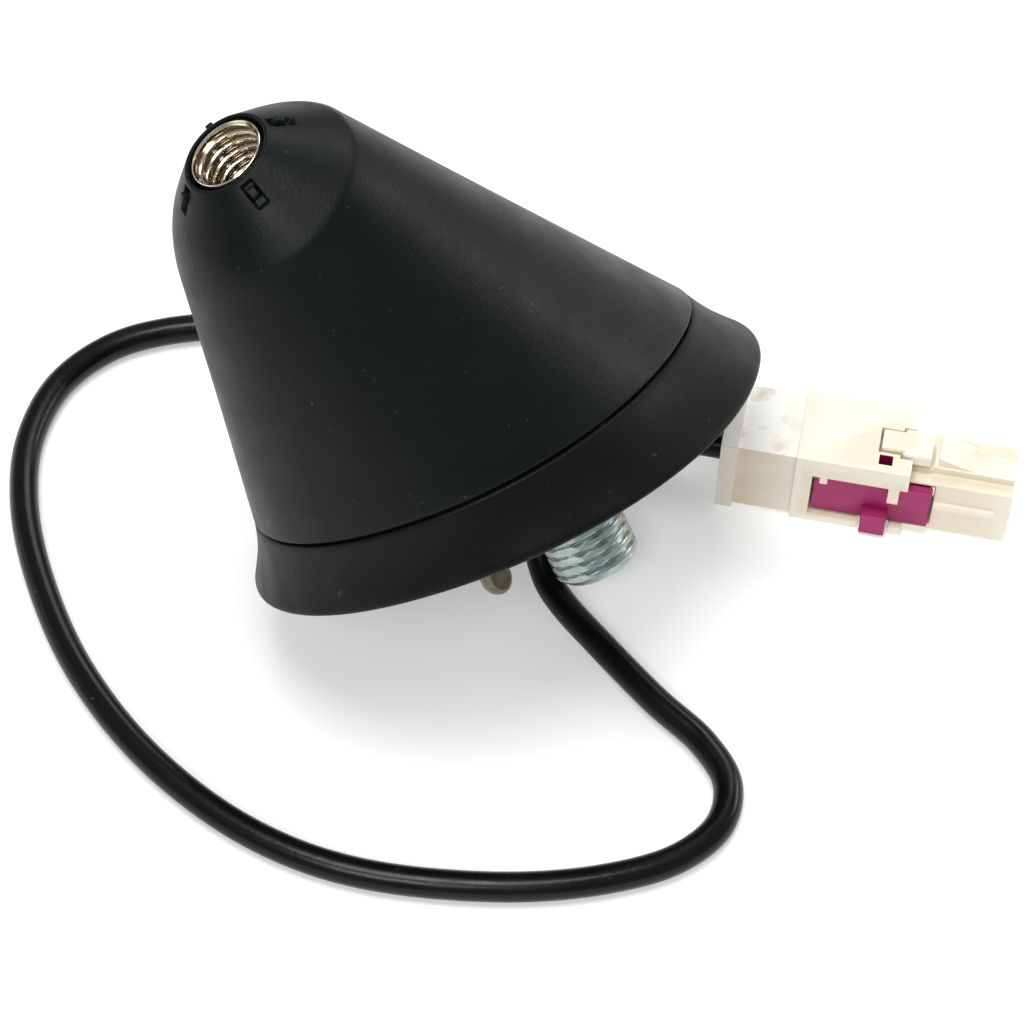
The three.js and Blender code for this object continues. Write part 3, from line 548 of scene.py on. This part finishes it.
# ---- Plug --------------------------------------------------------------------------------------
PLUG_PLACE, PLUG_HEADING = Vector((30.0, 14.0, 0.0)) * MM, math.radians(-11)
PLUG = Matrix.Translation(PLUG_PLACE) @ Matrix.Rotation(PLUG_HEADING, 4, "Z")
PEEP_HOLE = ((18.3, 19.9), (-4.0, -2.6), (6.9, 11.3))
COLLAR_END, COLLAR_END_AT_BLOCK = 8.6, 8.88
BEVEL_OVER, SHARP_OVER = math.radians(25), math.radians(20)


def softened(node, name, slot, body=ROOT, width=0.16, end_moves=None, lined_hole=None):
    """A CAD node's shape with its flat faces made whole and its edges rounded over.

    end_moves is (from_x, to_x) in the plug's frame: the end face at from_x moves to to_x.
    lined_hole is a box in the plug's frame whose inner faces show the colour of the lock.
    """
    mesh = frame["nodes"][node].data.copy()
    mesh.name = name
    back_to_plug = PLUG.inverted()
    if end_moves:
        for vertex in mesh.vertices:
            local = back_to_plug @ vertex.co
            if abs(local.x / MM - end_moves[0]) < 0.05:
                local.x = end_moves[1] * MM
                vertex.co = PLUG @ local
    imported_normals = mesh.attributes.get("custom_normal")
    if imported_normals:
        mesh.attributes.remove(imported_normals)
    work = bmesh.new()
    work.from_mesh(mesh)
    bmesh.ops.remove_doubles(work, verts=work.verts, dist=1e-6)
    bmesh.ops.dissolve_limit(work, angle_limit=math.radians(1), verts=work.verts, edges=work.edges)
    sharp = [e for e in work.edges if len(e.link_faces) == 2 and e.calc_face_angle() > BEVEL_OVER]
    bmesh.ops.bevel(work, geom=sharp, offset=width * MM, segments=2, affect="EDGES", clamp_overlap=True)
    bmesh.ops.recalc_face_normals(work, faces=work.faces)
    work.to_mesh(mesh)
    work.free()
    mesh.materials.clear()
    mesh.materials.append(MATERIALS[slot])
    if lined_hole:
        mesh.materials.append(MATERIALS["lock_magenta"])
        for face in mesh.polygons:
            local = back_to_plug @ face.center / MM
            if all(low - 0.02 < value < high + 0.02 for value, (low, high) in zip(local, lined_hole)):
                face.material_index = 1
    mesh.shade_smooth()
    mesh.set_sharp_from_angle(angle=SHARP_OVER)
    piece = bpy.data.objects.new(name, mesh)
    bpy.context.scene.collection.objects.link(piece)
    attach(piece, body)
    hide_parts(node)
    return piece


# ---- Stage -------------------------------------------------------------------------------------
def add_stage():
    floor_material = bpy.data.materials.new("floor")
    floor_material.use_nodes = True
    shader = floor_material.node_tree.nodes["Principled BSDF"]
    shader.inputs["Base Color"].default_value = (0.80, 0.80, 0.80, 1)
    shader.inputs["Emission Color"].default_value = (1.0, 1.0, 1.0, 1)
    shader.inputs["Emission Strength"].default_value = 0.32
    shader.inputs["Roughness"].default_value = 0.9
    mesh = bpy.data.meshes.new("floor")
    reach = 3.0
    mesh.from_pydata([(-reach, -reach, 0), (reach, -reach, 0), (reach, reach, 0), (-reach, reach, 0)], [],
                     [(0, 1, 2, 3)])
    mesh.materials.append(floor_material)
    floor = bpy.data.objects.new("floor", mesh)
    bpy.context.scene.collection.objects.link(floor)

    world = bpy.data.worlds.new("studio")
    bpy.context.scene.world = world
    world.use_nodes = True
    background = world.node_tree.nodes["Background"]
    background.inputs["Color"].default_value = (0.97, 0.99, 1.0, 1)
    background.inputs["Strength"].default_value = 0.30

    aim = Vector((0, 0, 0.03))

    def softbox(name, place, size, power, color=(1, 1, 1)):
        data = bpy.data.lights.new(name, "AREA")
        data.shape = "RECTANGLE"
        data.size, data.size_y = size
        data.energy = power
        data.color = color
        light = bpy.data.objects.new(name, data)
        light.location = place
        light.rotation_euler = (aim - Vector(place)).to_track_quat("-Z", "Y").to_euler()
        bpy.context.scene.collection.objects.link(light)

    softbox("front", place=(-0.16, -0.44, 0.56), size=(0.24, 0.18), power=1.6, color=(0.97, 0.99, 1.0))
    softbox("low_left", place=(-0.66, 0.14, 0.20), size=(0.30, 0.20), power=0.15)
    softbox("low_right", place=(0.62, 0.27, 0.24), size=(0.30, 0.20), power=0.9)
    softbox("back", place=(0.22, 0.50, 0.52), size=(0.40, 0.30), power=1.4, color=(0.98, 0.99, 1.0))
    softbox("top", place=(-0.06, -0.08, 0.80), size=(0.30, 0.30), power=3.3)
    view = bpy.context.scene.view_settings
    view.view_transform = "Standard"
    view.look = "None"


add_camera()
lead, lead_length = build_lead()
build_cover()
build_skirt()
build_stud()
build_peg()
build_socket()
plug_pieces = [
    softened("plug_housing", "plug_housing_moulding", "plug_ivory", lined_hole=PEEP_HOLE),
    softened("plug_collar", "plug_collar_moulding", "collar_ivory", width=0.3,
             end_moves=(COLLAR_END, COLLAR_END_AT_BLOCK)),
    softened("plug_latch", "plug_latch_arm", "plug_ivory", body="latch", width=0.14),
    softened("secondary_lock", "plug_lock_slide", "lock_magenta", body="lock", width=0.14),
]
DONE = {"cover_shell", "skirt", "threaded_stud", "locating_peg", "mast_socket", "coax_lead", "plug_housing",
        "plug_collar", "plug_latch", "secondary_lock"}
slot_of = {row["node"]: row["material_slot"] for row in frame["record"]["subparts"]}
for node, piece in frame["nodes"].items():
    if node not in DONE:
        piece.data.materials.clear()
        piece.data.materials.append(MATERIALS[slot_of[node]])
add_stage()
